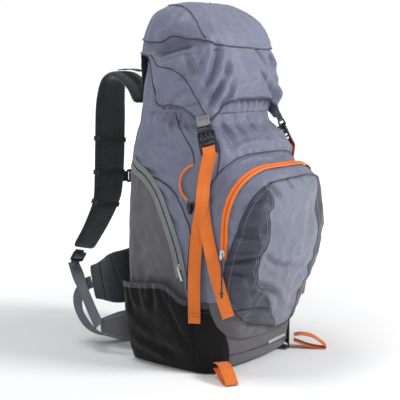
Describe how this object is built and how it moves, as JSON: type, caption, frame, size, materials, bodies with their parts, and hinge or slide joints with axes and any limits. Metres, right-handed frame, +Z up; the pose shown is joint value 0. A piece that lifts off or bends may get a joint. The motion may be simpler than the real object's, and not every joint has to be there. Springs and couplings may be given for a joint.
{
  "type": "hiking backpack",
  "caption": "Hooded trekking backpack with lid buckles, an arched front zip pocket, stretch mesh side pockets, a padded harness and a hip belt.",
  "frame": {"origin": "centre of the flat underside of the base, on the surface that the pack stands on", "axes": "+Z up, -Y towards the pack's front (away from the wearer), +X to the right as seen from the front"},
  "size_m": [0.322, 0.4521, 0.648],
  "materials": {
    "body_fabric": "woven, slight sheen",
    "ripstop_fabric": "ripstop grid, slight sheen",
    "charcoal_fabric": "coarse woven, matte",
    "back_fabric": "woven, matte",
    "air_mesh": "spacer mesh, matte",
    "stretch_mesh": "stretch mesh, matte",
    "orange_webbing": "webbing, satin",
    "orange_zip": "coil zip, satin",
    "orange_cord": "braided, satin",
    "grey_webbing": "webbing, satin",
    "black_webbing": "webbing, satin",
    "dark_cord": "braided, matte",
    "zip_tape": "woven tape",
    "black_plastic": "moulded, satin",
    "slider_metal": "satin",
    "frame_plastic": "matte",
    "stay_metal": "brushed"
  },
  "bodies": {
    "pack": {"side_panel_left": "body_fabric", "side_panel_right": "body_fabric", "front_panel": "body_fabric", "collar": "body_fabric", "front_pocket": "ripstop_fabric", "base_panel": "charcoal_fabric", "anchor_patch_left": "charcoal_fabric", "anchor_patch_right": "charcoal_fabric", "back_panel": "back_fabric", "back_pad_left": "air_mesh", "back_pad_right": "air_mesh", "lumbar_pad": "air_mesh", "shoulder_strap_left": "air_mesh", "shoulder_strap_right": "air_mesh", "side_pocket_left": "stretch_mesh", "side_pocket_right": "stretch_mesh", "lid_strap_left": "orange_webbing", "lid_strap_right": "orange_webbing", "front_zip": "orange_zip", "pole_keeper_cord_left": "orange_cord", "pole_keeper_cord_right": "orange_cord", "strap_webbing_left": "grey_webbing", "strap_webbing_right": "grey_webbing", "load_lifter_left": "black_webbing", "load_lifter_right": "black_webbing", "side_zip_left": "zip_tape", "side_zip_right": "zip_tape", "lid_buckle_female_left": "black_plastic", "lid_buckle_female_right": "black_plastic", "pole_keeper_lock_left": "black_plastic", "pole_keeper_lock_right": "black_plastic", "strap_adjuster_left": "black_plastic", "strap_adjuster_right": "black_plastic", "frame_sheet": "frame_plastic", "frame_stay": "stay_metal"},
    "lid": {"lid": "body_fabric", "lid_lining": "body_fabric", "lid_tab_left": "grey_webbing", "lid_tab_right": "grey_webbing", "lid_buckle_male_left": "black_plastic", "lid_buckle_male_right": "black_plastic"},
    "front_zip_pull": {"front_zip_slider": "slider_metal", "front_zip_cord": "dark_cord"},
    "side_zip_pull_left": {"side_zip_slider_left": "slider_metal"},
    "side_zip_pull_right": {"side_zip_slider_right": "slider_metal"},
    "hip_belt": {"hip_wing_left": "air_mesh", "hip_wing_right": "air_mesh", "hip_webbing_left": "grey_webbing", "hip_webbing_right": "grey_webbing", "hip_buckle_female": "black_plastic", "hip_buckle_male": "black_plastic"},
    "sternum_strap": {"sternum_webbing_left": "black_webbing", "sternum_webbing_right": "black_webbing", "sternum_buckle_female": "black_plastic", "sternum_buckle_male": "black_plastic"},
    "haul_loop": {"haul_loop": "black_webbing"},
    "tool_loop_left": {"tool_loop_left": "orange_webbing"},
    "tool_loop_right": {"tool_loop_right": "orange_webbing"},
    "keeper_button_left": {"pole_keeper_plunger_left": "black_plastic"},
    "keeper_button_right": {"pole_keeper_plunger_right": "black_plastic"}
  },
  "joints": [
    {"name": "lid_hinge", "type": "hinge", "parent": "pack", "child": "lid", "pos_m": [0, 0.097, 0.556], "axis": [-1, 0, 0], "range_deg": [0, 95]},
    {"name": "front_zip_slide", "type": "slide", "parent": "pack", "child": "front_zip_pull", "axis": [0.0106, -0.0462, 0.9989], "range_m": [0, 0.03]},
    {"name": "side_zip_slide_left", "type": "slide", "parent": "pack", "child": "side_zip_pull_left", "axis": [-0.0029, 0.359, 0.9333], "range_m": [0, 0.1]},
    {"name": "side_zip_slide_right", "type": "slide", "parent": "pack", "child": "side_zip_pull_right", "axis": [0.0029, 0.359, 0.9333], "range_m": [0, 0.1]},
    {"name": "hip_belt_swing", "type": "hinge", "parent": "pack", "child": "hip_belt", "pos_m": [0, 0.122, 0.15], "axis": [1, 0, 0], "range_deg": [0, 7]},
    {"name": "sternum_strap_slide", "type": "slide", "parent": "pack", "child": "sternum_strap", "axis": [0, 0, 1], "range_m": [-0.02, 0.02]},
    {"name": "haul_loop_swing", "type": "hinge", "parent": "pack", "child": "haul_loop", "pos_m": [0, 0.104, 0.531], "axis": [1, 0, 0], "range_deg": [0, 90]},
    {"name": "tool_loop_lift_left", "type": "hinge", "parent": "pack", "child": "tool_loop_left", "pos_m": [-0.116, -0.112, 0.019], "axis": [0.8351, -0.5501, 0], "range_deg": [0, 60]},
    {"name": "tool_loop_lift_right", "type": "hinge", "parent": "pack", "child": "tool_loop_right", "pos_m": [0.116, -0.112, 0.019], "axis": [0.8351, 0.5501, 0], "range_deg": [0, 60]},
    {"name": "keeper_press_left", "type": "slide", "parent": "pack", "child": "keeper_button_left", "axis": [0, 0, 1], "range_m": [0, 0.0025], "stiffness_N_per_m": 300},
    {"name": "keeper_press_right", "type": "slide", "parent": "pack", "child": "keeper_button_right", "axis": [0, 0, 1], "range_m": [0, 0.0025], "stiffness_N_per_m": 300}
  ]
}
